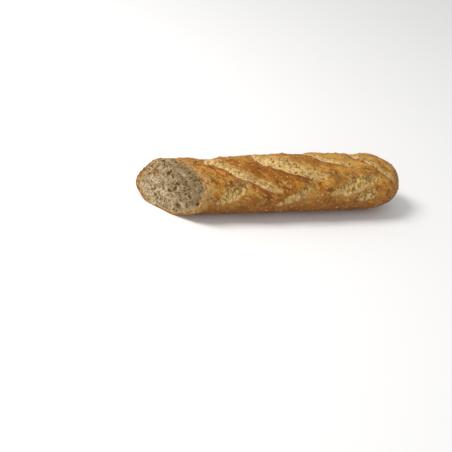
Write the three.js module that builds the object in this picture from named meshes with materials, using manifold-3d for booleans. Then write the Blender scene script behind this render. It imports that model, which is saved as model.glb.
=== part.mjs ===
// A seeded wholegrain baguette with one end cut off on the slant, lying on its flat base.
// Millimetres. X runs along the loaf: the cut end is at -X, the rounded end at +X. Z is up.
// The origin is the middle of the base. The side that faces -Y is called the near side.
// Angles go round the loaf from the crown, positive towards the near side.
import * as THREE from "three";
import { mergeVertices } from "three/addons/utils/BufferGeometryUtils.js";
import Module from "manifold-3d";

const DEG = Math.PI / 180;

// Driving dimensions of the loaf
const LENGTH = 272; // far tip of the cut to the rounded tip, at the height of the axis
const HALF_WIDTH_CUT = 29; // half the width near the cut end
const HALF_WIDTH_FULL = 31.5; // half the width of the fuller end
const SWELL_FROM = -95; // where the loaf starts to grow wider
const SWELL_TO = 15; // where it has its full width
const CAP_LENGTH = 52; // length of the rounded end
const CAP_POWER = 2.4; // bluntness of the rounded end
const AXIS_HEIGHT = 0.8; // height of the loaf's axis, as a share of the half width
const CROWN = 0.92; // height of the crown above the axis, as a share of the half width
const BELLY = 0.86; // depth of the belly below the axis, before the base flattens it
const CUT_ANGLE = 39 * DEG; // slant of the cut in plan
const CUT_LEAN = 21.5 * DEG; // how far the cut leans back towards its top

// Baker's slashes over the top, from the far side to the near side
// at: where it crosses the crown; from, to: its ends in degrees; half: half its width
// bend: how it swings along the loaf low on the near side; widening: how much wider it is there
// beyond: share of its shear that it keeps past the crown, on the far side
const SLASH_SHEAR = 42; // how far a slash runs along the loaf for each radian near the crown
const SLASH_SLANT = 34 * DEG; // angle between a slash and the loaf's length
const BEND_FROM = 10; // degrees from the crown beyond which a slash swings
const SLASHES = [
  { at: -72, from: -42, to: 75, half: 4.7, bend: 0.005, widening: 0.43, beyond: 0.1 },
  { at: -14.2, from: -32, to: 51, half: 9.1, bend: 0.01, widening: 0.37, beyond: 0.5 },
  { at: 45.2, from: -50, to: 28, half: 3.9, bend: 0.044, widening: 0.35, beyond: 0.9 },
  { at: 85.2, from: -52, to: 58, half: 2.9, bend: 0, widening: 0.05, beyond: 0.25 },
];
const SLASH_DEPTH = 1.9; // how far the torn floor lies below the crust in the middle
const SLASH_BLEND = 1.8; // width of the step from the crust down to the floor

// Bursts low on both flanks, where the crust tore open: each end is a place along the loaf and an angle
// depth: how far the torn floor lies below the crust
const BURSTS = [
  { from: [-76, 94], to: [-42, 50], half: 5.8, widening: 0, depth: 1.5 },
  { from: [-14, 104], to: [25, 58], half: 4.4, widening: 0, depth: 1.6 },
  { from: [43, 79], to: [98, 43], half: 6.6, widening: 0.3, depth: 0.9 },
  { from: [75, 92], to: [97, 74], half: 4.8, widening: 0, depth: 0.9 },
  { from: [-72, -56], to: [-36, -88], half: 4.2, widening: 0, depth: 1.6 },
  { from: [-12, -60], to: [28, -96], half: 4.8, widening: 0, depth: 1.6 },
  { from: [44, -62], to: [80, -86], half: 4.2, widening: 0, depth: 1.4 },
];
const BURST_BLEND = 3.0;

// The lip that stands up along a tear, the tilt of its floor, and the bulge of the crust between tears
const EAR_HEIGHT = 1.2;
const EAR_WIDTH = 2.0;
const EAR_SET_BACK = 0.9; // how far the lip's crest lies from the tear's edge
const FAR_EAR_SHARE = 0.3; // height of the lip on the other edge
const FLOOR_TILT = 0.6; // how much deeper the floor is by the lip than in the middle
const STEP_PAST_EDGE = 0.2; // how far the step to the floor starts outside the edge
const OPENING_POWER = 0.55; // how blunt a tear's ends are
const PILLOW = 1.3;
const PILLOW_REACH = 9; // how far from a tear the crust has its full bulge
const FULL_TEAR = 3; // a tear narrower than this is shallower
const TEAR_TAIL = 20; // how quickly a slash's influence ends past its ends

// Slow unevenness of the whole loaf: height and length of its waves, and how they turn round it
const SWAY = { height: 0.7, span: 11.5, phase: 1.1, lobes: 2, turn: 0.6 };
const RIPPLE = { height: 0.45, span: 5.26, phase: 2.4, lobes: 3 };
const TIP_CALM = 0.55; // share of the full section at which the relief has its full height
const BASE_CALM = [-0.8, -0.45]; // cosines of the angles between which the relief fades to the base

// Seeds baked onto the crust: half length, half width and half thickness
const SEED_KINDS = [
  { size: [2.3, 1.2, 0.8], share: 0.5 }, // linseed
  { size: [1.8, 1.15, 0.75], share: 0.36 }, // sesame
  { size: [3.5, 1.8, 1.2], share: 0.14 }, // sunflower kernel
];
const SEED_COUNT = 100;
const SEED_SIZE_LEAST = 0.85;
const SEED_SIZE_SPREAD = 0.3;
const SEED_SINK = 0.25; // how far its middle lies below the crust, as a share of its half thickness
const SEED_ANGLE_LIMIT = 125; // lowest on the flank that a seed lies
const SEED_CLEAR_OF_ENDS = 5;
const SPREAD_ALONG = 0.7548776662; // steps of a sequence that fills an area evenly
const SPREAD_ROUND = 0.5698402911;

// Crumb on the cut face
const CRUST_THICKNESS = 2.6;
const CRUMB_RINGS = 8;
const CRUMB_ROUGHNESS = 0.8;
const CRUMB_RAISED = 0.25; // share of the roughness that stands out of the cut

// Repeatable draws, one channel for each use
const CRUMB_DRAW = 1;
const TURN_DRAW = 3;
const SIZE_DRAW = 5;
const KIND_DRAW = 7;
const DRAW_STEP = 12.9898;
const CHANNEL_STEP = 78.233;
const DRAW_SCALE = 43758.5453;

// Mesh steps
const RINGS = 77;
const SEGMENTS = 46;
const CROWN_DENSITY = 0.24; // how much closer the segments lie at the crown than at the base
const SHEAR_STARTS = 0.2; // share of the crust's rings over which they turn from the cut to the slashes
const SHEAR_ENDS = 78; // distance from the tip over which they straighten again
const RINGS_BEYOND = 0.45; // share of the shear that they keep on the far side
const RIM_PASSES = 20; // steps that bring a point of the crust onto the plane of the cut
const WELD = 1e-3; // points closer than this are one

const END_X = LENGTH / 2;
const CUT_X = -LENGTH / 2 + HALF_WIDTH_CUT * Math.tan(CUT_ANGLE); // where the cut crosses the axis
const CUT_MIDDLE = new THREE.Vector3(CUT_X, 0, AXIS_HEIGHT * HALF_WIDTH_CUT);
const INTO_CUT = new THREE.Vector3(1, Math.tan(CUT_ANGLE), -Math.tan(CUT_LEAN)).normalize();

/** Rises smoothly from 0 at low to 1 at high. */
function smoothStep(low, high, value) {
  const t = Math.min(1, Math.max(0, (value - low) / (high - low)));
  return t * t * (3 - 2 * t);
}

/** A repeatable number from 0 to 1 for each whole number and channel. */
function scatter(n, channel) {
  const wave = Math.sin(n * DRAW_STEP + channel * CHANNEL_STEP) * DRAW_SCALE;
  return wave - Math.floor(wave);
}

/** Half the loaf's width at x, before the rounded end narrows it. */
function halfWidth(x) {
  const swell = smoothStep(SWELL_FROM, SWELL_TO, x);
  return HALF_WIDTH_CUT + (HALF_WIDTH_FULL - HALF_WIDTH_CUT) * swell;
}

/** 1 along the loaf, falling to 0 at the rounded tip. */
function capScale(x) {
  const into = Math.min(1, Math.max(0, 1 - (END_X - x) / CAP_LENGTH));
  return Math.sqrt(Math.max(0, 1 - into ** CAP_POWER));
}

/** Half the opening of a tear, at t from -1 at one end to 1 at the other. */
function tearOpening(tear, t) {
  return Math.abs(t) < 1 ? tear.half * (1 - t * t) ** OPENING_POWER * (1 + tear.widening * t) : 0;
}

/** How far the crust's lines run along the loaf at an angle, with the share kept beyond the crown. */
function shearAt(angle, beyond) {
  return SLASH_SHEAR * Math.sin(angle) * (angle < 0 ? beyond : 1);
}

/** How a slash lies at x and angle: distance past its edge, its opening there and the side of its line. */
function slashAt(slash, x, angle) {
  const degrees = angle / DEG;
  const t = (2 * (degrees - slash.from)) / (slash.to - slash.from) - 1;
  const swing = slash.bend * Math.max(0, degrees - BEND_FROM) ** 2;
  const line = slash.at + swing + shearAt(angle, slash.beyond);
  const across = (x - line) * Math.sin(SLASH_SLANT);
  const past = Math.max(0, Math.abs(t) - 1) * TEAR_TAIL;
  const open = tearOpening(slash, t);
  const edge = Math.hypot(across, past) - open;
  return { edge, open, across, depth: SLASH_DEPTH, blend: SLASH_BLEND };
}

/** The same for a burst on a flank, measured on the unrolled surface. */
function burstAt(burst, x, angle) {
  const radius = halfWidth(x);
  const dx = burst.to[0] - burst.from[0];
  const dv = (burst.to[1] - burst.from[1]) * DEG * radius;
  const length = Math.hypot(dx, dv);
  const px = x - burst.from[0];
  const pv = (angle - burst.from[1] * DEG) * radius;
  const t = (2 * (px * dx + pv * dv)) / length ** 2 - 1;
  const across = (pv * dx - px * dv) / length;
  const past = (Math.max(0, Math.abs(t) - 1) * length) / 2;
  const open = tearOpening(burst, t);
  const edge = Math.hypot(across, past) - open;
  return { edge, open, across, depth: burst.depth, blend: BURST_BLEND };
}

/** Height that one tear adds: its sunken, tilted floor and the lips along its edges. */
function tearHeight({ edge, open, across, depth, blend }) {
  const share = Math.min(1, open / FULL_TEAR);
  const side = Math.min(1, Math.max(-1, across / Math.max(open, FULL_TEAR)));
  const floor = (1 - smoothStep(-blend, STEP_PAST_EDGE, edge)) * (1 - FLOOR_TILT * side);
  const lip = Math.exp(-(((edge - EAR_SET_BACK) / EAR_WIDTH) ** 2));
  const ear = EAR_HEIGHT * (across < 0 ? 1 : FAR_EAR_SHARE);
  return share * (ear * lip - depth * floor);
}

/** Height of the crust above the smooth loaf: tears, the bulges between them and slow unevenness. */
function relief(x, angle) {
  const tears = [
    ...SLASHES.map((slash) => slashAt(slash, x, angle)),
    ...BURSTS.map((burst) => burstAt(burst, x, angle)),
  ];
  const nearest = Math.min(PILLOW_REACH, ...tears.map((tear) => Math.max(0, tear.edge)));
  const torn = tears.reduce((sum, tear) => sum + tearHeight(tear), 0);
  const bulge = PILLOW * smoothStep(0, PILLOW_REACH, nearest) - PILLOW / 2;
  const swayAlong = Math.sin(x / SWAY.span + SWAY.phase);
  const sway = SWAY.height * swayAlong * Math.sin(SWAY.lobes * angle + SWAY.turn);
  const ripple = RIPPLE.height * Math.sin(x / RIPPLE.span + RIPPLE.phase + RIPPLE.lobes * angle);
  return (torn + bulge + sway + ripple) * smoothStep(0, TIP_CALM, capScale(x));
}

/** A point of the crust at x and an angle. The base is flat, so nothing lies below it. */
function crustPoint(x, angle) {
  const width = halfWidth(x);
  const scale = capScale(x);
  const rise = (Math.cos(angle) > 0 ? CROWN : BELLY) * width;
  const lift = relief(x, angle) * smoothStep(...BASE_CALM, Math.cos(angle));
  const y = -(width * scale + lift) * Math.sin(angle);
  const z = AXIS_HEIGHT * width + (rise * scale + lift) * Math.cos(angle);
  return new THREE.Vector3(x, y, Math.max(0, z));
}

/** How far a point lies from the plane of the cut, into the loaf. */
function depthFromCut(point) {
  return point.clone().sub(CUT_MIDDLE).dot(INTO_CUT);
}

/** The crust point at an angle that lies in the plane of the cut. */
function cutRimPoint(angle) {
  let point = crustPoint(CUT_X, angle);
  for (let pass = 0; pass < RIM_PASSES; pass += 1) {
    point = crustPoint(point.x - depthFromCut(point), angle);
  }
  return point;
}

/** Angle of segment j: segments lie closer together over the crown. */
function segmentAngle(j) {
  const t = (2 * j) / SEGMENTS - 1;
  return Math.PI * ((1 - CROWN_DENSITY) * t + CROWN_DENSITY * t ** 3);
}

/** Place on the cut face of ring i and segment j: uneven crumb inside the smooth edge of the crust. */
function crumbPoint(i, j, rim, middle) {
  const inner = 1 - CRUST_THICKNESS / HALF_WIDTH_CUT;
  const share = i === CRUMB_RINGS ? 1 : (inner * i) / (CRUMB_RINGS - 1);
  const point = middle.clone().lerp(rim[j], share);
  if (i < CRUMB_RINGS - 1) {
    const draw = scatter(j + SEGMENTS * i, CRUMB_DRAW) - CRUMB_RAISED;
    point.addScaledVector(INTO_CUT, draw * CRUMB_ROUGHNESS * Math.min(1, 2 * share));
  }
  return point;
}

/** Place on the crust of ring i and segment j. Rings start along the cut, then run along the slashes. */
function crustRingPoint(i, j, rim) {
  const angle = segmentAngle(j);
  const along = (i - CRUMB_RINGS) / RINGS;
  const straight = CUT_X + (END_X - CUT_X) * along;
  const turned = smoothStep(0, SHEAR_STARTS, along);
  const kept = 1 - smoothStep(END_X - SHEAR_ENDS, END_X, straight);
  const shear = (rim[j].x - CUT_X) * (1 - turned) + shearAt(angle, RINGS_BEYOND) * turned;
  return crustPoint(Math.min(END_X, straight + shear * kept), angle);
}

/** The loaf's body: a lathe whose rings are laid onto the cut face and the crust. */
function bodyGeometry() {
  const last = CRUMB_RINGS + RINGS;
  const profile = Array.from({ length: last + 1 }, (_, i) => new THREE.Vector2(i % last ? 1 : 0, i));
  const geometry = new THREE.LatheGeometry(profile, SEGMENTS);
  const rim = Array.from({ length: SEGMENTS }, (_, j) => cutRimPoint(segmentAngle(j)));
  const middle = rim.reduce((sum, point) => sum.add(point), new THREE.Vector3()).divideScalar(SEGMENTS);
  const tip = new THREE.Vector3(END_X, 0, AXIS_HEIGHT * HALF_WIDTH_FULL);
  const position = geometry.getAttribute("position");
  for (let vertex = 0; vertex < position.count; vertex += 1) {
    const i = vertex % (last + 1);
    const j = Math.floor(vertex / (last + 1)) % SEGMENTS;
    const place = i <= CRUMB_RINGS ? crumbPoint(i, j, rim, middle) : crustRingPoint(i, j, rim);
    const { x, y, z } = i === last ? tip : place;
    position.setXYZ(vertex, x, y, z);
  }
  return geometry;
}

/** Where seed n would lie, as x and angle. */
function seedPlace(n) {
  const x = LENGTH * (((n * SPREAD_ALONG) % 1) - 0.5);
  const angle = SEED_ANGLE_LIMIT * DEG * (2 * ((n * SPREAD_ROUND) % 1) - 1);
  return { x, angle };
}

/** Whether a seed at x and angle is clear of the cut and the rounded tip. */
function seedFits({ x, angle }) {
  const clearOfCut = depthFromCut(crustPoint(x, angle)) > SEED_CLEAR_OF_ENDS;
  return clearOfCut && x < END_X - SEED_CLEAR_OF_ENDS;
}

/** Which kind seed n is. */
function seedKind(n) {
  let draw = scatter(n, KIND_DRAW);
  for (const kind of SEED_KINDS) {
    draw -= kind.share;
    if (draw < 0) return kind;
  }
  return SEED_KINDS[0];
}

/** Where the body's surface lies at x and an angle, and which way it faces there. */
function seatOn(body, { x, angle }) {
  const outward = new THREE.Vector3(0, -Math.sin(angle), Math.cos(angle));
  const start = new THREE.Vector3(x, 0, AXIS_HEIGHT * halfWidth(x));
  start.addScaledVector(outward, 2 * HALF_WIDTH_FULL);
  const [hit] = new THREE.Raycaster(start, outward.negate()).intersectObject(body);
  return { point: hit.point, normal: hit.face.normal };
}

/** A seed as a faceted kernel, lying flat on its seat and sunk into it. */
function seedGeometry(n, seat) {
  const size = SEED_SIZE_LEAST + SEED_SIZE_SPREAD * scatter(n, SIZE_DRAW);
  const [a, b, c] = seedKind(n).size.map((half) => half * size);
  const lie = new THREE.Quaternion().setFromUnitVectors(new THREE.Vector3(0, 0, 1), seat.normal);
  const frame = new THREE.Matrix4().makeRotationFromQuaternion(lie);
  frame.multiply(new THREE.Matrix4().makeRotationZ(scatter(n, TURN_DRAW) * Math.PI));
  frame.scale(new THREE.Vector3(a, b, c));
  frame.setPosition(seat.point.clone().addScaledVector(seat.normal, -SEED_SINK * c));
  return new THREE.IcosahedronGeometry(1, 0).applyMatrix4(frame);
}

/** A closed geometry as a manifold solid. */
function toSolid(wasm, geometry) {
  const bare = geometry.clone();
  bare.deleteAttribute("normal");
  bare.deleteAttribute("uv");
  const merged = mergeVertices(bare, WELD);
  const vertProperties = merged.getAttribute("position").array;
  const triVerts = new Uint32Array(merged.index.array);
  return new wasm.Manifold(new wasm.Mesh({ numProp: 3, vertProperties, triVerts }));
}

/** A manifold solid as a three.js geometry. */
function toGeometry(solid) {
  const { vertProperties, triVerts } = solid.getMesh();
  const geometry = new THREE.BufferGeometry();
  geometry.setAttribute("position", new THREE.BufferAttribute(vertProperties, 3));
  geometry.setIndex(new THREE.BufferAttribute(triVerts, 1));
  geometry.computeVertexNormals();
  return geometry;
}

/** The body with its seeds baked on, as one solid. */
function seededLoaf(wasm) {
  const body = new THREE.Mesh(bodyGeometry());
  let solid = toSolid(wasm, body.geometry);
  let placed = 0;
  for (let n = 0; placed < SEED_COUNT; n += 1) {
    const place = seedPlace(n);
    if (seedFits(place)) {
      solid = solid.add(toSolid(wasm, seedGeometry(n, seatOn(body, place))));
      placed += 1;
    }
  }
  return toGeometry(solid);
}

const wasm = await Module();
wasm.setup();

const crust = new THREE.MeshStandardMaterial({ color: 0xb67a3a, roughness: 0.75, metalness: 0 });
const loaf = new THREE.Mesh(seededLoaf(wasm), crust);
loaf.name = "loaf";

// The unevenness puts the outline a little off centre, so the loaf is moved to stand over the origin
const outline = new THREE.Box3().setFromObject(loaf).getCenter(new THREE.Vector3());
loaf.position.set(-outline.x, -outline.y, 0);

const baguette = new THREE.Group();
baguette.add(loaf);

export default baguette;
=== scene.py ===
"""Dresses the seeded baguette: a baked crust with torn slashes, porous crumb on the slanted cut, and seeds.

Metres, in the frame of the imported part: X along the loaf from the cut end to the rounded end, Z up, and
the base at 0. Angles go round the loaf from the crown, positive towards the near side, which faces -Y.
"""

import sys

import logging
import math
from dataclasses import dataclass, field
from enum import Enum

import bmesh
import bpy
import numpy as np
from mathutils import Color, Matrix, Quaternion, Vector
from mathutils.bvhtree import BVHTree


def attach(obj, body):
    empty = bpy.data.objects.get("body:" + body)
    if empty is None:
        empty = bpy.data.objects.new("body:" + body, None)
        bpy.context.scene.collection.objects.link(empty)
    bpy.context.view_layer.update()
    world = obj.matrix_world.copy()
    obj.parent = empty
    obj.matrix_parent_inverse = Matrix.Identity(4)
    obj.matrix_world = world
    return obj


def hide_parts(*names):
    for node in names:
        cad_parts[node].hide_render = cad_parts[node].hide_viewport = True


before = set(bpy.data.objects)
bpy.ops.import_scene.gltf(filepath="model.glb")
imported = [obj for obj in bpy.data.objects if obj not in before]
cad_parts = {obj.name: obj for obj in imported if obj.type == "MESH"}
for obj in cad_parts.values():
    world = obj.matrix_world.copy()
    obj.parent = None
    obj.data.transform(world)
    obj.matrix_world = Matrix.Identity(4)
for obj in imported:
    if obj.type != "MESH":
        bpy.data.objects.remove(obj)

MM = 0.001
LOG = logging.getLogger("baguette")
NODE = "loaf"
BODY = "root"
Colour = tuple[float, float, float, float]
Range = tuple[float, float]
Hump = tuple[float, float]
Triple = tuple[float, float, float]
Socket = bpy.types.NodeSocket
Array = np.ndarray


def smooth_step(low: float, high: float, value: Array) -> Array:
    """Rises smoothly from 0 where the value is low to 1 where it is high."""
    t = np.clip((value - low) / (high - low), 0.0, 1.0)
    return t * t * (3 - 2 * t)


def bump_at(value: Array, middle: float, width: float) -> Array:
    """A soft hump of height 1 round the middle."""
    return np.exp(-(((value - middle) / width) ** 2))


def at_least(least: float, share: Array) -> Array:
    """A share from 0 to 1, raised to run from the least to 1."""
    return least + (1 - least) * share


def sheared(angle: Array, beyond: float) -> Array:
    """How far the crust's lines run along the loaf, with only a share of it beyond the crown."""
    full = 42 * MM
    return full * np.sin(angle) * np.where(angle < 0, beyond, 1.0)


def scatter(n: Array, channel: int) -> Array:
    """Repeatable numbers from 0 to 1 for whole numbers and a channel.

    Args:
        n: The whole numbers.
        channel: Which of several independent draws.

    Returns:
        The draws.
    """
    step, channel_step, scale = 12.9898, 78.233, 43758.5453
    wave = np.sin(n * step + channel * channel_step) * scale
    return wave - np.floor(wave)


def tint(red: float, green: float, blue: float) -> Colour:
    """A colour given on the screen's 0 to 255 scale, as Blender's linear numbers."""
    shares = Color([value / 255 for value in (red, green, blue)])
    return (*shares.from_srgb_to_scene_linear(), 1.0)


def linked(name: str, data: bpy.types.ID) -> bpy.types.Object:
    """Makes an object and links it to the scene.

    Args:
        name: The object's name.
        data: Its mesh, light or camera.

    Returns:
        The object.
    """
    made = bpy.data.objects.new(name, data)
    bpy.context.scene.collection.objects.link(made)
    return made


@dataclass(frozen=True)
class Waves:
    """A smooth uneven field: plane waves in seeded directions, added up to about its height."""

    spacing: float
    seed: int
    height: float = 1.0
    count: int = 28

    def at(self, points: Array) -> Array:
        """Reads the field.

        Args:
            points: Places, one row each.

        Returns:
            One value for each place, mostly within twice the height.
        """
        draw = np.random.default_rng(self.seed)
        headings = draw.normal(size=(self.count, 3))
        headings /= np.linalg.norm(headings, axis=1, keepdims=True)
        lengths = self.spacing * draw.uniform(0.7, 1.6, self.count)
        phases = draw.uniform(0.0, 2 * math.pi, self.count)
        total = np.zeros(len(points))
        for heading, length, phase in zip(headings, lengths, phases):
            total += np.sin(points @ heading * (2 * math.pi / length) + phase)
        return self.height * (total / math.sqrt(self.count / 2))


@dataclass(frozen=True)
class TearPlace:
    """How a tear lies at some places: distance past its edge, its opening, and the side of its line.

    Reach runs from -1 at one end of the tear to 1 at the other. Strands is a place in the tear's own
    directions: the first along its strands, the second across them.
    """

    edge: Array
    opening: Array
    across: Array
    reach: Array
    strands: tuple[Array, Array]


@dataclass(frozen=True)
class Tear:
    """What slashes and bursts have in common.

    On its lipped side a tear has a calmer and crisper edge, a bright line, and a scorch that is partly
    browning and partly painted shadow under the ear.
    Bloom and the ember reach say how far straw colours and ember colours, which are partly painted shade,
    reach beside it.
    """

    half: float
    widening: float
    opening_power = 0.55
    coarseness = 1.0
    bloom = 5 * MM
    # How far the ember colours, partly browning and partly painted shade, reach beside the lip.
    ember_and_shade_reach = 10 * MM
    is_burst = False
    lip_calm = 0.65
    lip_crispness = 1.0
    # Strength of the scorch: partly browning, partly painted shadow under the ear.
    ear_strength = 1.0
    scorch_and_shadow_strength = 1.0

    def opening(self, t: Array) -> Array:
        """Half the opening, at t from -1 at one end to 1 at the other."""
        pointed = np.clip(1 - t * t, 0.0, 1.0) ** self.opening_power
        return self.half * pointed * (1 + self.widening * np.clip(t, -1.0, 1.0))


@dataclass(frozen=True)
class Slash(Tear):
    """One baker's slash, from the far side over the crown to the near side.

    Its start and end are in degrees, its bend is in metres for each square degree past bend_from, and
    beyond is the share of its slant that is left past the crown.
    """

    crown_x: float
    start: float
    end: float
    bend: float
    beyond: float
    bloom: float
    # How far the ember colours, partly browning and partly painted shade, reach beside this slash.
    ember_and_shade_reach: float
    slant: float = math.radians(34)
    bend_from: float = 10.0
    tail: float = 20 * MM
    depth: float = 1.9 * MM
    blend: float = 1.6 * MM

    def lie(self, x: Array, angle: Array, radius: Array) -> TearPlace:
        """Measures places against the slash.

        Args:
            x: Places along the loaf.
            angle: Angles round it.
            radius: Half the loaf's width there.

        Returns:
            How the slash lies at each place.
        """
        degrees = np.degrees(angle)
        t = 2 * (degrees - self.start) / (self.end - self.start) - 1
        swing = self.bend * np.maximum(0.0, degrees - self.bend_from) ** 2
        line = self.crown_x + swing + sheared(angle, self.beyond)
        across = (x - line) * math.sin(self.slant)
        past = np.maximum(0.0, np.abs(t) - 1) * self.tail
        opening = self.opening(t)
        along = (x - self.crown_x) * math.cos(self.slant) + angle * radius * math.sin(self.slant)
        return TearPlace(np.hypot(across, past) - opening, opening, across, t, (along, across))


@dataclass(frozen=True)
class Burst(Tear):
    """One place low on a flank where the crust burst open. Its angles are in degrees."""

    from_x: float
    from_angle: float
    to_x: float
    to_angle: float
    depth: float
    coarseness: float = 1.0
    blend: float = 2.4 * MM
    is_burst = True
    lip_calm = 0.0
    lip_crispness = 0.2
    ear_strength = 0.3
    # A weaker scorch with painted shadow by a burst.
    scorch_and_shadow_strength = 0.6

    def lie(self, x: Array, angle: Array, radius: Array) -> TearPlace:
        """Measures places against the burst, on the unrolled surface.

        Args:
            x: Places along the loaf.
            angle: Angles round it.
            radius: Half the loaf's width there.

        Returns:
            How the burst lies at each place.
        """
        dx = self.to_x - self.from_x
        dv = math.radians(self.to_angle - self.from_angle) * radius
        length = np.hypot(dx, dv)
        px = x - self.from_x
        pv = (angle - math.radians(self.from_angle)) * radius
        t = 2 * (px * dx + pv * dv) / length**2 - 1
        across = (pv * dx - px * dv) / length
        past = np.maximum(0.0, np.abs(t) - 1) * length / 2
        opening = self.opening(t)
        return TearPlace(np.hypot(across, past) - opening, opening, across, t, (angle * radius, x))


SLASHES = (
    Slash(4.7 * MM, 0.43, -72 * MM, -42, 75, 0.005 * MM, 0.1, 1.5 * MM, 5 * MM),
    Slash(9.1 * MM, 0.37, -14.2 * MM, -32, 51, 0.01 * MM, 0.5, 4 * MM, 28 * MM),
    Slash(3.9 * MM, 0.35, 45.2 * MM, -50, 28, 0.044 * MM, 0.9, 12 * MM, 8 * MM),
    Slash(2.9 * MM, 0.05, 85.2 * MM, -52, 58, 0.0, 0.25, 5 * MM, 3 * MM),
)
BURSTS = (
    Burst(5.8 * MM, 0.0, -76 * MM, 94, -42 * MM, 50, 1.5 * MM),
    Burst(4.4 * MM, 0.0, -14 * MM, 104, 25 * MM, 58, 1.6 * MM),
    Burst(6.6 * MM, 0.3, 43 * MM, 79, 98 * MM, 43, 0.9 * MM, coarseness=2.0),
    Burst(4.8 * MM, 0.0, 75 * MM, 92, 97 * MM, 74, 0.9 * MM, coarseness=2.0),
    Burst(4.2 * MM, 0.0, -72 * MM, -56, -36 * MM, -88, 1.6 * MM),
    Burst(4.8 * MM, 0.0, -12 * MM, -60, 28 * MM, -96, 1.6 * MM),
    Burst(4.2 * MM, 0.0, 44 * MM, -62, 80 * MM, -86, 1.4 * MM),
)


@dataclass(frozen=True)
class Surface:
    """What the crust is like at some places: its relief, and how torn, lipped, toasted and scorched it is.
    The scorch and ember marks carry painted shade by the tears as well as browning, and the straw mark a
    painted highlight on the crown.
    """

    lift: Array
    torn: Array
    ear: Array
    toast: Array
    scorch_and_shadow: Array
    ember_and_shade: Array
    straw: Array
    flank: Array
    strands: Array


@dataclass(frozen=True)
class TearLook:
    """How the crust looks in and by a tear: metres from its edge, shares, and reach along it from -1 to 1.

    A range says where something starts and where it is full, a hump where its middle is and how wide it is,
    and an ear's fade its strength and then its range. Late is what lies towards a slash's near end.
    """

    lip_side: Range = (0.15, -0.15)
    late: Range = (0.2, 0.7)
    wander_opening: float = 4 * MM
    least_wander: float = 0.25
    toast: Range = (-0.1, 1.1)
    late_toast: float = 0.8
    strand_shift: float = 50 * MM
    crisp: Range = (-0.7 * MM, 0.5 * MM)
    fade: float = 2.6 * MM
    fade_shift: float = 0.1 * MM
    late_shift: float = 1.3 * MM
    fade_opening: float = 7 * MM
    least_fade: float = 0.3
    ear: Hump = (0.1 * MM, 1.2 * MM)
    ear_fades: tuple[Triple, ...] = ((0.75, 0.25, 0.7), (0.8, -0.6, -0.95))
    # Where the scorch lies beside the lip: browning and a painted shadow under the ear.
    scorch_and_shadow: Hump = (1.5 * MM, 1.2 * MM)
    scorch_and_shadow_start: float = 0.3 * MM
    far_scorch_and_shadow: float = 0.2
    # Where along a slash the ember colours, partly painted shade, are strong.
    ember_and_shade: Range = (-0.5, 0.4)
    least_ember_and_shade: float = 0.35
    # Painted highlight: a paler patch on the crown, laid into the straw mark.
    crown_highlight: float = 0.38
    crown_highlight_x: Hump = (66 * MM, 24 * MM)
    crown_highlight_rise: Range = (0.0, 0.8)


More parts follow.
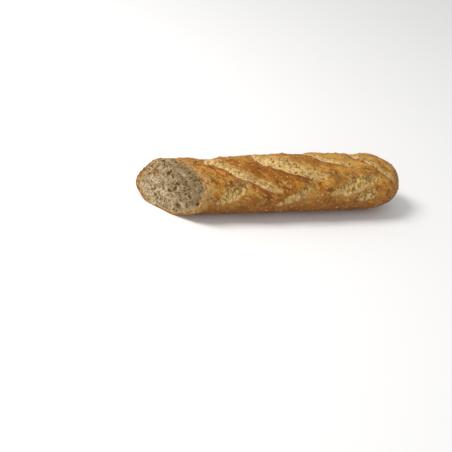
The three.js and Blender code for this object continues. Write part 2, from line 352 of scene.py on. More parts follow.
@dataclass(frozen=True)
class LoafForm:
    """The sizes of the loaf and the shape of its crust.

    A thick place of the crust has the middle and the width of its angles in degrees, and each of the
    crust's swells its share, its lobes round the loaf and its phase.
    """

    length: float = 272 * MM
    half_width_cut: float = 29 * MM
    half_width_full: float = 31.5 * MM
    swell: Range = (-95 * MM, 15 * MM)
    cap_length: float = 52 * MM
    cap_power: float = 2.4
    axis_height: float = 0.8
    crown: float = 0.92
    belly: float = 0.86
    cut_angle: float = math.radians(39)
    cut_lean: float = math.radians(21.5)
    offset: Triple = (1.51 * MM, 0.096 * MM, 0.0)
    ear_height: float = 1.2 * MM
    ear: Hump = (0.8 * MM, 1.6 * MM)
    far_ear_share: float = 0.3
    floor_tilt: float = 0.6
    step_past_edge: float = 0.2 * MM
    pillow: float = 1.3 * MM
    pillow_reach: float = 9 * MM
    full_tear: float = 3 * MM
    tip_calm: float = 0.55
    base_calm: Range = (-0.8, -0.45)
    ragged: tuple[Waves, ...] = (Waves(7 * MM, 11, 0.55 * MM), Waves(2.6 * MM, 12, 0.4 * MM))
    wander: Waves = Waves(26 * MM, 13, 0.8 * MM)
    fringe: Waves = Waves(3.6 * MM, 14, 1.1 * MM)
    dent_height: float = 0.7 * MM
    dent_length: float = 11.5 * MM
    ripple_height: float = 0.45 * MM
    ripple_length: float = 5.26 * MM
    crust: float = 1.0 * MM
    base_crust: float = 0.8 * MM
    base_range: Hump = (-1.0, 0.7)
    thick_places: tuple[Triple, ...] = ((3.2 * MM, -88, 28), (2.0 * MM, 80, 42))
    crust_swells: tuple[Triple, ...] = (
        (0.16, 3, 1.0), (0.16, 8, 2.0), (0.13, 13, 4.0), (0.12, 22, 0.0), (0.1, 35, 1.0)
    )
    look: TearLook = TearLook()
    inner_depth: float = 3 * MM
    deep_from_cut: float = 0.03
    rim_passes: int = 20

    @property
    def end_x(self) -> float:
        """Where the rounded tip is."""
        return self.length / 2

    @property
    def cut_x(self) -> float:
        """Where the cut crosses the axis."""
        return -self.length / 2 + self.half_width_cut * math.tan(self.cut_angle)

    @property
    def cut_middle(self) -> Array:
        """Where the cut crosses the axis, in the part's frame."""
        return np.array([self.cut_x, 0.0, self.axis_height * self.half_width_cut]) + self.offset

    @property
    def inward(self) -> Array:
        """The direction square to the cut, into the loaf."""
        heading = np.array([1.0, math.tan(self.cut_angle), -math.tan(self.cut_lean)])
        return heading / np.linalg.norm(heading)

    def half_width(self, x: Array) -> Array:
        """Half the loaf's width at x, before the rounded end narrows it."""
        growth = (self.half_width_full - self.half_width_cut) * smooth_step(*self.swell, x)
        return self.half_width_cut + growth

    def cap_scale(self, x: Array) -> Array:
        """1 along the loaf, falling to 0 at the rounded tip."""
        into = np.clip(1 - (self.end_x - x) / self.cap_length, 0.0, 1.0)
        return np.sqrt(np.maximum(0.0, 1 - into**self.cap_power))

    def unrolled(self, x: Array, angle: Array) -> Array:
        """Places in space on a plain tube, to read uneven fields at without a seam."""
        radius = self.half_width(x)
        return np.stack([x, radius * np.sin(angle), radius * np.cos(angle)], axis=-1)

    def surface(self, x: Array, angle: Array) -> Surface:
        """Works out the crust's relief and its torn places.

        Args:
            x: Places along the loaf.
            angle: Angles round it.

        Returns:
            The crust there.
        """
        look = self.look
        radius = self.half_width(x)
        tube = self.unrolled(x, angle)
        ragged = sum(waves.at(tube) for waves in self.ragged)
        wander = self.wander.at(tube)
        fringe = self.fringe.at(tube)
        height = np.zeros_like(x)
        nearest = np.full_like(x, np.inf)
        torn, ear, toast, scorch_and_shadow, ember_and_shade, straw, flank = (np.zeros_like(x) for _ in range(7))
        strands = np.zeros((len(x), 3))
        for number, tear in enumerate((*SLASHES, *BURSTS)):
            place = tear.lie(x, angle, radius)
            share = np.clip(place.opening / self.full_tear, 0.0, 1.0)
            side = np.clip(place.across / np.maximum(place.opening, self.full_tear), -1.0, 1.0)
            lipped = smooth_step(*look.lip_side, side)
            late = smooth_step(*look.late, place.reach) * (not tear.is_burst)
            wandering = np.clip(place.opening / look.wander_opening, look.least_wander, 1.0)
            edge = place.edge + (ragged * (1 - tear.lip_calm * lipped) + wander) * wandering
            floor = (1 - smooth_step(-tear.blend, self.step_past_edge, edge)) * (1 - self.floor_tilt * side)
            lip = at_least(self.far_ear_share, lipped) * bump_at(edge, *self.ear)
            height += share * (self.ear_height * lip - tear.depth * floor)
            here = edge < nearest
            nearest = np.where(here, edge, nearest)
            toast = np.where(here, smooth_step(*look.toast, side) * (1 - look.late_toast * late), toast)
            flank = np.where(here, float(tear.is_burst), flank)
            own = np.stack([place.strands[0] + number * look.strand_shift, place.strands[1], 0 * x], axis=-1)
            strands = np.where(here[:, None], own / tear.coarseness, strands)
            crisp = 1 - smooth_step(*look.crisp, edge)
            breadth = np.clip(place.opening / look.fade_opening, look.least_fade, 1.0)
            pushed = (edge + look.fade_shift - look.late_shift * late) / breadth
            faded = 1 - smooth_step(-look.fade, look.fade, pushed + fringe)
            torn = np.maximum(torn, share * (faded + (crisp - faded) * lipped * tear.lip_crispness))
            rim = 1 - lipped if tear.is_burst else lipped
            line = tear.ear_strength * np.sqrt(share) * rim * bump_at(edge, *look.ear)
            fades = sum(most * smooth_step(low, high, place.reach) for most, low, high in look.ear_fades)
            ear = np.maximum(ear, line * (1 - fades))
            # Scorch beside the lip: partly browning, partly painted shadow under the ear.
            beside = bump_at(edge, *look.scorch_and_shadow) * smooth_step(0.0, look.scorch_and_shadow_start, edge)
            scorched_and_shaded = tear.scorch_and_shadow_strength * at_least(look.far_scorch_and_shadow, lipped)
            scorch_and_shadow = np.maximum(scorch_and_shadow, beside * share * scorched_and_shaded)
            outside = np.maximum(0.0, edge)
            # Ember colours beside the lip: partly browning, partly painted shade.
            near_end = smooth_step(*look.ember_and_shade, place.reach)
            darkened_beside = np.exp(-outside / tear.ember_and_shade_reach) * at_least(look.least_ember_and_shade, near_end)
            ember_and_shade = np.maximum(ember_and_shade, darkened_beside * lipped * share * (not tear.is_burst))
            straw = np.maximum(straw, np.exp(-outside / tear.bloom) * (1 - lipped) * share)
        # Painted highlight on the crown, added to the straw mark.
        on_crown = bump_at(x, *look.crown_highlight_x) * smooth_step(*look.crown_highlight_rise, np.cos(angle))
        straw = np.maximum(straw, look.crown_highlight * on_crown)
        height += self.pillow * (smooth_step(0.0, self.pillow_reach, np.maximum(0.0, nearest)) - 0.5)
        height += self.dent_height * np.sin(x / self.dent_length + 1.1) * np.sin(angle * 2 + 0.6)
        height += self.ripple_height * np.sin(x / self.ripple_length + 2.4 + angle * 3)
        height *= smooth_step(0.0, self.tip_calm, self.cap_scale(x))
        return Surface(height, torn, ear, toast, scorch_and_shadow * (1 - torn), ember_and_shade, straw, flank, strands)

    def point(self, x: Array, angle: Array, lift: Array, inset: Array | float = 0.0) -> Array:
        """Places points on the crust, or a little below it.

        Args:
            x: Places along the loaf.
            angle: Angles round it.
            lift: Relief there.
            inset: Depth below the crust.

        Returns:
            One row for each point.
        """
        width = self.half_width(x)
        scale = self.cap_scale(x)
        rise = np.where(np.cos(angle) > 0, self.crown, self.belly) * width
        raised = lift * smooth_step(*self.base_calm, np.cos(angle))
        y = -np.maximum(0.0, width * scale + raised - inset) * np.sin(angle)
        z = self.axis_height * width + np.maximum(0.0, rise * scale + raised - inset) * np.cos(angle)
        return np.stack([x + 0 * y, y, np.maximum(inset, z)], axis=-1) + self.offset

    def depth_from_cut(self, points: Array) -> Array:
        """How far points lie from the plane of the cut, into the loaf."""
        return (points - self.cut_middle) @ self.inward

    def cut_rim(self, angle: Array, inset: Array) -> Array:
        """The x of the crust, or of a depth below it, in the plane of the cut.

        Args:
            angle: Angles round the loaf.
            inset: Depth below the crust.

        Returns:
            The x for each angle.
        """
        pairs, back = np.unique(np.stack([angle, inset], axis=-1), axis=0, return_inverse=True)
        angle, inset = pairs.T
        x = np.full_like(angle, self.cut_x)
        for _ in range(self.rim_passes):
            x = x - self.depth_from_cut(self.point(x, angle, self.surface(x, angle).lift, inset))
        return x[back.ravel()]

    def thickness(self, angle: Array) -> Array:
        """Thickness of the crust: uneven, and much thicker low on the far side, where the cut's tip is.

        Args:
            angle: Angles round the loaf.

        Returns:
            The thickness at each.
        """
        uneven = sum(height * np.sin(lobes * angle + phase) for height, lobes, phase in self.crust_swells)
        even = self.crust + self.base_crust * bump_at(np.cos(angle), *self.base_range)
        for height, middle, width in self.thick_places:
            even = even + height * bump_at(angle, math.radians(middle), math.radians(width))
        return even * (1 + uneven)

    def deeper(self, along: Array) -> Array:
        """How much deeper the hidden inner walls lie away from the cut, to stay below every tear."""
        return self.inner_depth * smooth_step(0.0, self.deep_from_cut, along)


@dataclass
class Skin:
    """A closed skin: a grid of rings and segments that is laid in space and welded at its seam and poles."""

    name: str
    rings: int
    segments: int

    def grid(self) -> tuple[bpy.types.Mesh, Array, Array]:
        """Makes the flat grid.

        Returns:
            The mesh, each vertex's ring number, and its place round the ring from -1 to 1.
        """
        bm = bmesh.new()
        bmesh.ops.create_grid(bm, x_segments=self.rings, y_segments=self.segments, size=1.0)
        mesh = bpy.data.meshes.new(self.name)
        bm.to_mesh(mesh)
        bm.free()
        flat = np.empty(len(mesh.vertices) * 3, np.float32)
        mesh.vertices.foreach_get("co", flat)
        flat = flat.reshape(-1, 3).astype(float)
        turn = np.rint((flat[:, 1] + 1) / 2 * self.segments) / self.segments * 2 - 1
        return mesh, np.rint((flat[:, 0] + 1) / 2 * self.rings), turn

    def finish(self, mesh: bpy.types.Mesh, spots: Array, marks: dict[str, Array]) -> bpy.types.Object:
        """Lays the grid in space, writes its marks, welds it and makes the piece.

        Args:
            mesh: The grid.
            spots: A place for each vertex.
            marks: Attributes by name, one value or row for each vertex.

        Returns:
            The finished piece, linked to the scene.
        """
        mesh.vertices.foreach_set("co", spots.astype(np.float32).ravel())
        for name, values in marks.items():
            kind, slot = ("FLOAT", "value") if values.ndim == 1 else ("FLOAT_VECTOR", "vector")
            attribute = mesh.attributes.new(name, kind, "POINT")
            attribute.data.foreach_set(slot, values.astype(np.float32).ravel())
        bm = bmesh.new()
        bm.from_mesh(mesh)
        bmesh.ops.remove_doubles(bm, verts=bm.verts, dist=1e-6)
        bmesh.ops.dissolve_degenerate(bm, dist=1e-7, edges=bm.edges)
        bmesh.ops.recalc_face_normals(bm, faces=bm.faces)
        bm.to_mesh(mesh)
        bm.free()
        mesh.shade_smooth()
        return linked(self.name, mesh)


@dataclass(frozen=True)
class Patch:
    """Clouds of one colour: their size, the values of the pattern that they fade in over, and strength."""

    colour: Socket | Colour
    size: float
    fade: Range
    top: float = 1.0
    detail: float = 4.0
    rough: float = 0.7


@dataclass(frozen=True)
class Specks:
    """Specks of one colour: spacing of their cells, radius as a share of it, and share of the cells.

    Top is their strength, and core the share of the radius that has it in full.
    """

    colour: Colour
    spacing: float
    radius: float
    share: float
    top: float
    core: float = 0.6


class NodeSketch:
    """A new material's node tree, with short calls that add and join its nodes."""

    def __init__(self, name: str) -> None:
        """Starts the material.

        Args:
            name: The material's name.
        """
        self.material = bpy.data.materials.new(name)
        self.material.use_nodes = True
        self.tree = self.material.node_tree
        self.tree.nodes.clear()
        self.place = self.add("ShaderNodeTexCoord").outputs["Object"]

    def add(self, kind: str, inputs: dict | None = None, **settings) -> bpy.types.Node:
        """Adds a node.

        Args:
            kind: The node's type name.
            inputs: Values or sockets by the name or number of the input.
            **settings: The node's own settings.

        Returns:
            The node.
        """
        node = self.tree.nodes.new(kind)
        for name, value in settings.items():
            setattr(node, name, value)
        for key, value in (inputs or {}).items():
            if isinstance(value, Socket):
                self.tree.links.new(value, node.inputs[key])
            else:
                node.inputs[key].default_value = value
        return node

    def mark(self, name: str) -> Socket:
        """The number that the mesh carries under a name."""
        return self.add("ShaderNodeAttribute", attribute_name=name).outputs["Fac"]

    def mark_place(self, name: str) -> Socket:
        """The vector that the mesh carries under a name."""
        return self.add("ShaderNodeAttribute", attribute_name=name).outputs["Vector"]

    def noise(
        self, size: float, detail: float = 2.0, rough: float = 0.5, place: Socket | None = None
    ) -> Socket:
        """A cloudy pattern from 0 to 1, read at the object's own coordinates unless others are given."""
        inputs = {"Vector": place or self.place, "Scale": 1 / size, "Detail": detail, "Roughness": rough}
        return self.add("ShaderNodeTexNoise", inputs).outputs[0]

    def stretched(self, place: Socket, scale: Triple) -> Socket:
        """Coordinates, each multiplied by its scale."""
        return self.add("ShaderNodeMapping", {"Vector": place, "Scale": scale}).outputs[0]

    def pulled(self, scale: Triple, turn: Triple) -> Socket:
        """The object's coordinates, for patterns drawn out by the scale along axes that are turned."""
        inputs = {"Vector": self.place, "Rotation": turn, "Scale": scale}
        return self.add("ShaderNodeMapping", inputs, vector_type="TEXTURE").outputs[0]

    def spread(self, value: Socket, low: float, high: float, top: float = 1.0) -> Socket:
        """A value eased from 0 at low to its top at high."""
        inputs = {"Value": value, "From Min": low, "From Max": high, "To Max": top}
        return self.add("ShaderNodeMapRange", inputs, interpolation_type="SMOOTHSTEP").outputs[0]

    def maths(self, operation: str, first: Socket | float, second: Socket | float) -> Socket:
        """Joins two values by one of Blender's maths operations."""
        return self.add("ShaderNodeMath", {0: first, 1: second}, operation=operation).outputs[0]

    def mix(self, share: Socket, first: Socket | Colour, second: Socket | Colour) -> Socket:
        """Mixes two colours, with a share of the second."""
        return self.add("ShaderNodeMix", {0: share, 6: first, 7: second}, data_type="RGBA").outputs[2]

    def marked(self, under: Socket | Colour, name: str, colour: Socket | Colour, top: float = 1.0) -> Socket:
        """Lays a colour over another where the mesh carries a mark, at most as strongly as top."""
        return self.mix(self.maths("MULTIPLY", self.mark(name), top), under, colour)

    def patched(
        self, under: Socket | Colour, patch: Patch, place: Socket | None = None, mark: str = ""
    ) -> Socket:
        """Lays clouds of a colour over another.

        Args:
            under: The colour below.
            patch: The clouds.
            place: Coordinates, or the object's own.
            mark: Name of the mark that they are kept to, if any.

        Returns:
            The colour with the clouds.
        """
        clouds = self.noise(patch.size, patch.detail, patch.rough, place)
        share = self.spread(clouds, *patch.fade, patch.top)
        if mark:
            share = self.maths("MULTIPLY", share, self.mark(mark))
        return self.mix(share, under, patch.colour)

    def specked(self, under: Socket, specks: Specks) -> Socket:
        """Scatters specks over a colour.

        Args:
            under: The colour below.
            specks: The specks.

        Returns:
            The colour with the specks.
        """
        cells = self.add("ShaderNodeTexVoronoi", {"Vector": self.place, "Scale": 1 / specks.spacing})
        near = self.spread(cells.outputs["Distance"], specks.radius, specks.radius * specks.core, specks.top)
        draw = self.add("ShaderNodeSeparateColor", {0: cells.outputs["Color"]}).outputs[0]
        share = self.maths("MULTIPLY", near, self.maths("LESS_THAN", draw, specks.share))
        return self.mix(share, under, specks.colour)

    def bump(self, height: Socket, distance: float, under: Socket | None = None) -> Socket:
        """Fine relief.

        Args:
            height: Height from 0 to 1.
            distance: Height in metres of the value 1.
            under: Normal that it is laid on.

        Returns:
            The normal.
        """
        inputs = {"Height": height, "Distance": distance, "Strength": 1.0}
        if under is not None:
            inputs["Normal"] = under
        return self.add("ShaderNodeBump", inputs).outputs[0]

    def shade(self, **inputs: Socket | Colour | float) -> bpy.types.Material:
        """Ends the tree in a shader.

        Args:
            **inputs: The shader's inputs, with _ for each space.

        Returns:
            The material.
        """
        named = {name.replace("_", " "): value for name, value in inputs.items()}
        shader = self.add("ShaderNodeBsdfPrincipled", named)
        self.add("ShaderNodeOutputMaterial", {"Surface": shader.outputs[0]})
        return self.material


@dataclass(frozen=True)
class CrustFinish:
    """Baked crust: golden brown and mottled, scorched and painted with shade by the tears, pale where it
    tore, darker low on the flank with browning and painted shade, and with a painted highlight on the crown.
    """

    gold: Colour = tint(196, 130, 40)
    # Ember colour beside the slashes' lips: browning and painted shade.
    burnt_and_shade: Colour = tint(142, 80, 8)
    straw: Colour = tint(206, 164, 84)
    umber: Colour = tint(118, 68, 10)
    # Scorch colour: browning and painted shadow under the ear.
    scorch_and_shadow: Colour = tint(118, 56, 12)
    # Colour of the darkened lower flank and base: browning and painted shade.
    base: Colour = tint(126, 74, 18)
    cream: Colour = tint(234, 202, 136)
    biscuit: Colour = tint(186, 150, 86)
    toasted: Colour = tint(162, 118, 54)
    flank_pale: Colour = tint(226, 192, 122)
    flank_deep: Colour = tint(150, 114, 56)
    ear: Colour = tint(255, 226, 178)
    pale_fleck: Colour = tint(228, 182, 104)
    dust: Colour = tint(196, 160, 98)
    rim_skin: Colour = tint(108, 70, 26)
    rim_brown: Colour = tint(176, 132, 78)
    rim_spot: Colour = tint(130, 88, 38)
    rim_cream: Colour = tint(188, 156, 106)
    pull: Triple = (2.2, 0.85, 0.85)
    pull_turn: Triple = (0.0, math.radians(20), math.radians(-34))
    strand_scale: Triple = (120.0, 620.0, 1.0)
    broad: tuple[Patch, ...] = (
        Patch(tint(164, 94, 14), 19 * MM, (0.4, 0.6), detail=3.0, rough=0.6),
        Patch(tint(190, 104, 24), 12 * MM, (0.5, 0.62), 0.6, 3.0, 0.6),
    )
    drawn_out: tuple[Patch, ...] = (
        Patch(tint(150, 112, 34), 8 * MM, (0.5, 0.66), 0.6, rough=0.6),
        Patch(straw, 6 * MM, (0.48, 0.66), 0.85, rough=0.65),
        Patch(umber, 7 * MM, (0.48, 0.64), 0.9, rough=0.65),
        Patch(umber, 3.6 * MM, (0.52, 0.68), 0.75, rough=0.6),
        Patch(pale_fleck, 3.3 * MM, (0.53, 0.69), 0.7, rough=0.6),
    )
    grain: Patch = Patch(umber, 1.1 * MM, (0.5, 0.72), 0.4, 3.0, 0.65)
    # Clouds of the scorch colour, partly browning and partly painted shadow.
    scorched_and_shaded: Patch = Patch(scorch_and_shadow, 7 * MM, (0.36, 0.62), 0.9, 3.0, 0.6)
    browned: Patch = Patch(toasted, 2.6 * MM, (0.5, 0.64), 0.6)
    lip_line: Patch = Patch(ear, 6 * MM, (0.34, 0.5), 1.0, 2.0, 0.5)
    rim_spots: Patch = Patch(rim_spot, 3.2 * MM, (0.46, 0.56), 0.9)
    dust_spots: Patch = Patch(rim_spot, 1.6 * MM, (0.5, 0.62), 0.6, 3.0)
    flecks: tuple[Specks, ...] = (
        Specks(tint(92, 56, 14), 3.1 * MM, 0.24, 0.3, 0.8),
        Specks(pale_fleck, 2.7 * MM, 0.24, 0.36, 0.7),
    )

    def material(self) -> bpy.types.Material:
        """Makes the material.

        Returns:
            The crust's material. It reads the marks for ember, scorch and the baked base, which also carry
            painted shade, for straw, which also carries a painted highlight on the crown, and torn, toast,
            flank, ear, strands, rim and dust.
        """
        draw = NodeSketch("baked_crust")
        pulled = draw.pulled(self.pull, self.pull_turn)
        colour = self.gold
        for patch in self.broad:
            colour = draw.patched(colour, patch)
        for patch in self.drawn_out:
            colour = draw.patched(colour, patch, pulled)
        colour = draw.patched(colour, self.grain)
        # Ember colours beside the slashes: browning and painted shade.
        colour = draw.marked(colour, "ember_and_shade", self.burnt_and_shade, 0.9)
        # Straw beside the tears, and the painted highlight on the crown that the straw mark also carries.
        colour = draw.marked(colour, "straw", self.straw, 0.6)
        # Scorch beside the tears' lips: browning and painted shadow.
        colour = draw.patched(colour, self.scorched_and_shaded, mark="scorch_and_shadow")
        # Darker lower flank and base: partly browning, partly painted shade.
        colour = draw.marked(colour, "bake_and_shade", self.base)
        colour = self.torn(draw, colour)
        for specks in self.flecks:
            colour = draw.specked(colour, specks)
        colour = self.cut_edge(draw, colour)
        grain = draw.noise(self.grain.size, self.grain.detail, self.grain.rough)
        relief = draw.bump(draw.noise(2.6 * MM, 4.0, 0.6), 0.5 * MM)
        relief = draw.bump(grain, 0.18 * MM, relief)
        roughness = draw.maths("ADD", draw.spread(grain, 0.2, 0.8, 0.2), 0.52)
        return draw.shade(Base_Color=colour, Roughness=roughness, Normal=relief, Specular_IOR_Level=0.25)

    def torn(self, draw: NodeSketch, colour: Socket) -> Socket:
        """Lays the torn places over the baked colour.

        Args:
            draw: The material's sketch.
            colour: The baked colour.

        Returns:
            The colour with the torn places.
        """
        strands = draw.noise(1.0, 3.0, 0.6, draw.stretched(draw.mark_place("strands"), self.strand_scale))
        share = draw.spread(draw.maths("ADD", strands, draw.noise(3.4 * MM, 4.0, 0.7)), 0.86, 1.12)
        slashed = draw.marked(draw.mix(share, self.biscuit, self.cream), "toast", self.toasted, 0.4)
        burst = draw.mix(share, self.flank_deep, self.flank_pale)
        pale = draw.patched(draw.marked(slashed, "flank", burst), self.browned)
        return draw.patched(draw.marked(colour, "torn", pale), self.lip_line, mark="ear")

    def cut_edge(self, draw: NodeSketch, colour: Socket) -> Socket:
        """Lays the colours of the crust's cut edge over the rest.

        Args:
            draw: The material's sketch.
            colour: The crust's colour.

        Returns:
            The colour with the cut edge.
        """
        rim = draw.mark("rim")
        crumbly = draw.maths("ADD", rim, draw.spread(draw.noise(2.2 * MM, 4.0, 0.7), 0.35, 0.65, 0.5))
        edge = draw.mix(draw.spread(crumbly, 0.2, 0.6), self.rim_skin, self.rim_brown)
        edge = draw.mix(draw.spread(crumbly, 0.7, 1.2), edge, self.rim_cream)
        colour = draw.mix(draw.spread(rim, 0.02, 0.12), colour, draw.patched(edge, self.rim_spots))
        dusty = Patch(draw.patched(self.dust, self.dust_spots), 4 * MM, (0.6, 0.46), 0.95)
        return draw.patched(colour, dusty, mark="dust")


@dataclass(frozen=True)
class CrumbFinish:
    """Soft grey beige crumb with pores darkened by painted shade, bran specks and a browner band by the
    crust.
    """

    light: Colour = tint(210, 188, 152)
    middle: Colour = tint(168, 146, 110)
    # Darker crumb, for random clouds and for the painted shade across the cut face.
    deep: Colour = tint(130, 108, 74)
    # Painted shade in the pores, darker where they are deeper.
    pore_shade: Colour = tint(104, 80, 46)
    band: Colour = tint(182, 149, 100)
    toasted: Colour = tint(156, 104, 46)
    patches: tuple[Patch, ...] = (
        Patch(light, 3.4 * MM, (0.4, 0.6)),
        Patch(deep, 2.6 * MM, (0.48, 0.6), 0.75),
    )
    browned: Patch = Patch(tint(140, 98, 44), 3.6 * MM, (0.48, 0.6), 0.75)
    specks: tuple[Specks, ...] = (
        Specks(tint(88, 62, 28), 2.6 * MM, 0.2, 0.2, 0.8),
        Specks(tint(226, 206, 172), 2.4 * MM, 0.24, 0.3, 0.6),
    )

    def material(self) -> bpy.types.Material:
        """Makes the material.

        Returns:
            The crumb's material. It reads the marks for tone, which carries painted shade across the face,
            for band, for the pores' painted shade, and for toasted.
        """
        draw = NodeSketch("open_crumb")
        colour = self.middle
        for patch in self.patches:
            colour = draw.patched(colour, patch)
        # Painted shade across the cut face, darker towards the top and the near side, with random tone
        # clouds.
        colour = draw.marked(colour, "shade_and_tone", self.deep)
        colour = draw.marked(colour, "band", self.band, 0.6)
        colour = draw.patched(colour, self.browned, mark="band")
        # Painted shade in the pores.
        colour = draw.marked(colour, "pore_shade", self.pore_shade, 0.9)
        for specks in self.specks:
            colour = draw.specked(colour, specks)
        colour = draw.marked(colour, "toasted", self.toasted)
        relief = draw.bump(draw.noise(0.7 * MM, 3.0, 0.6), 0.2 * MM)
        return draw.shade(Base_Color=colour, Roughness=0.9, Normal=relief, Specular_IOR_Level=0.15)


@dataclass(frozen=True)
class SeedFinish:
    """The skin of one kind of seed, with its colours on the screen's 0 to 255 scale."""

    name: str
    light: Triple
    dark: Triple
    roughness: float

    def material(self) -> bpy.types.Material:
        """Makes the material.

        Returns:
            The seed's material.
        """
        draw = NodeSketch(self.name)
        colour = draw.patched(tint(*self.light), Patch(tint(*self.dark), 5 * MM, (0.36, 0.64), 1.0, 3.0, 0.6))
        relief = draw.bump(draw.noise(0.5 * MM, 2.0), 0.06 * MM)
        return draw.shade(Base_Color=colour, Roughness=self.roughness, Normal=relief, Specular_IOR_Level=0.3)


@dataclass
class Crust:
    """The baked crust: a closed shell with its cut edge at one end."""

    form: LoafForm
    inner_rings: int = 20
    band_rings: int = 9
    outer_rings: int = 500
    segments: int = 184
    crown_density: float = 0.3
    beyond: float = 0.45
    shear_starts: float = 0.2
    shear_ends: float = 78 * MM
    ragged: Waves = Waves(4.5 * MM, 28, 0.45 * MM)
    ragged_reach: float = 5 * MM
    rim_swell: float = 0.3 * MM
    rim_waves: Waves = Waves(2.4 * MM, 26)
    cut_bake: float = 0.8
    cut_bake_reach: float = 2.5 * MM
    # How far up the flank the darkening reaches, partly browning and partly painted shade.
    bake_and_shade_range: Range = (0.55, -0.6)
    bake_and_shade_share: float = 0.85
    blisters: Waves = Waves(5.5 * MM, 21)
    blister_height: float = 0.12 * MM
    wrinkles: Waves = Waves(9 * MM, 22, 6.25)
    wrinkle_depth: float = 0.25 * MM
    grain: Waves = Waves(2.2 * MM, 23, 0.08 * MM)
    ropes: Waves = Waves(3.2 * MM, 24, 0.24 * MM)
    rope_scale: Triple = (0.4, 1.3, 1.0)
    lumps: Waves = Waves(4.2 * MM, 25, 0.26 * MM)
    dust_edge: Waves = Waves(3 * MM, 27, 0.8 * MM)
    dust_range: Range = (2 * MM, 8.5 * MM)
    dust_side: Hump = (math.radians(58), math.radians(52))
    least_dust: float = 0.45

    def build(self) -> bpy.types.Object:
        """Builds and dresses the crust.

        Returns:
            The crust's piece.
        """
        skin = Skin("crust", self.inner_rings + self.band_rings + self.outer_rings, self.segments)
        mesh, ring, turn = skin.grid()
        angle = math.pi * ((1 - self.crown_density) * turn + self.crown_density * turn**3)
        wall = self.form.thickness(angle)
        band = np.clip((ring - self.inner_rings) / self.band_rings, 0.0, 1.0)
        along = self.along(ring)
        inset = wall * (1 - band) + self.form.deeper(along) * (ring < self.inner_rings)
        x = self.ring_x(along, angle, inset)
        surface = self.form.surface(x, angle)
        from_cut = np.abs(self.form.depth_from_cut(self.form.point(x, angle, surface.lift, inset)))
        ragged = self.ragged.at(self.form.unrolled(x, angle)) * np.exp(-from_cut / self.ragged_reach)
        relief = (self.crackle(x, angle, surface) + ragged) * band
        spots = self.form.point(x, angle, surface.lift + relief, inset)
        on_cut = (ring >= self.inner_rings) & (ring <= self.inner_rings + self.band_rings)
        rim = np.where(on_cut, inset / wall, np.where(ring < self.inner_rings, 1.0, 0.0))
        inside = 4 * rim * (1 - rim) * on_cut
        spots += self.form.inward * (inside * self.rim_swell * (1 + self.rim_waves.at(spots)))[:, None]
        outside = rim == 0
        names = ("toast", "flank", "scorch_and_shadow", "ember_and_shade", "straw", "strands")
        marks = {name: getattr(surface, name) for name in names}
        marks["rim"] = rim
        marks["torn"] = surface.torn * outside
        marks["ear"] = surface.ear * outside
        marks["dust"] = self.dusted(spots, angle) * outside
        by_cut = self.cut_bake * np.exp(-from_cut / self.cut_bake_reach) * (angle < 0)
        # Lower flank and base darker, partly browning and partly painted shade; browner by the cut on the far
        # side.
        marks["bake_and_shade"] = np.maximum(self.bake_and_shade(angle), by_cut)
        piece = skin.finish(mesh, spots, marks)
        piece.data.materials.append(CrustFinish().material())
        return piece

    def along(self, ring: Array) -> Array:
        """Share of the loaf's length at each ring: inner rings run from the tip to the cut, outer ones back.

        Args:
            ring: The rings' numbers.

        Returns:
            The shares.
        """
        inner = (1 - ring / self.inner_rings) ** 2
        outer = (ring - self.inner_rings - self.band_rings) / self.outer_rings
        return np.clip(np.where(ring < self.inner_rings, inner, outer), 0.0, 1.0)

    def ring_x(self, along: Array, angle: Array, inset: Array) -> Array:
        """Places the rings along the loaf: along the cut first, then along the slashes.

        Args:
            along: Share of the length.
            angle: Angles round the loaf.
            inset: Depth below the crust.

        Returns:
            The x of each vertex.
        """
        form = self.form
        rim = form.cut_rim(angle, inset)
        end = form.end_x - inset
        straight = form.cut_x + (end - form.cut_x) * along
        turned = smooth_step(0.0, self.shear_starts, along)
        kept = 1 - smooth_step(0.0, 1.0, (straight - end + self.shear_ends) / self.shear_ends)
        shear = (rim - form.cut_x) * (1 - turned) + sheared(angle, self.beyond) * turned
        return np.minimum(end, straight + shear * kept)

    def crackle(self, x: Array, angle: Array, surface: Surface) -> Array:
        """Fine relief: blisters and wrinkles of the baked skin, and strands in the torn places.

        Args:
            x: Places along the loaf.
            angle: Angles round it.
            surface: The crust there.

        Returns:
            The relief.
        """
        tube = self.form.unrolled(x, angle)
        blisters = self.blister_height * np.maximum(0.0, self.blisters.at(tube)) ** 2
        wrinkles = self.wrinkle_depth * bump_at(self.wrinkles.at(tube), 0.0, 1.0)
        ropes = self.ropes.at(surface.strands * np.array(self.rope_scale))
        lumps = self.lumps.at(tube) * (1 + surface.flank)
        skin = (blisters - wrinkles) * (1 - surface.torn)
        return skin + self.grain.at(tube) + (ropes + lumps) * surface.torn

    def bake_and_shade(self, angle: Array) -> Array:
        """How far the lower flank and the base are darkened: partly browning, partly painted shade."""
        return smooth_step(*self.bake_and_shade_range, np.cos(angle)) * self.bake_and_shade_share

    def dusted(self, spots: Array, angle: Array) -> Array:
        """How far the skin by the cut is pale with crumbs, mostly on the near side.

        Args:
            spots: Places on the crust.
            angle: Angles round the loaf.

        Returns:
            The share of crumbs at each.
        """
        from_cut = self.form.depth_from_cut(spots) + self.dust_edge.at(spots)
        share = at_least(self.least_dust, bump_at(angle, *self.dust_side))
        return share * (1 - smooth_step(*self.dust_range, from_cut))


@dataclass(frozen=True)
class Pores:
    """A crowd of pores of like size in the crumb, with their depth as a share of their size."""

    count: int
    least: float
    most: float
    depth: float


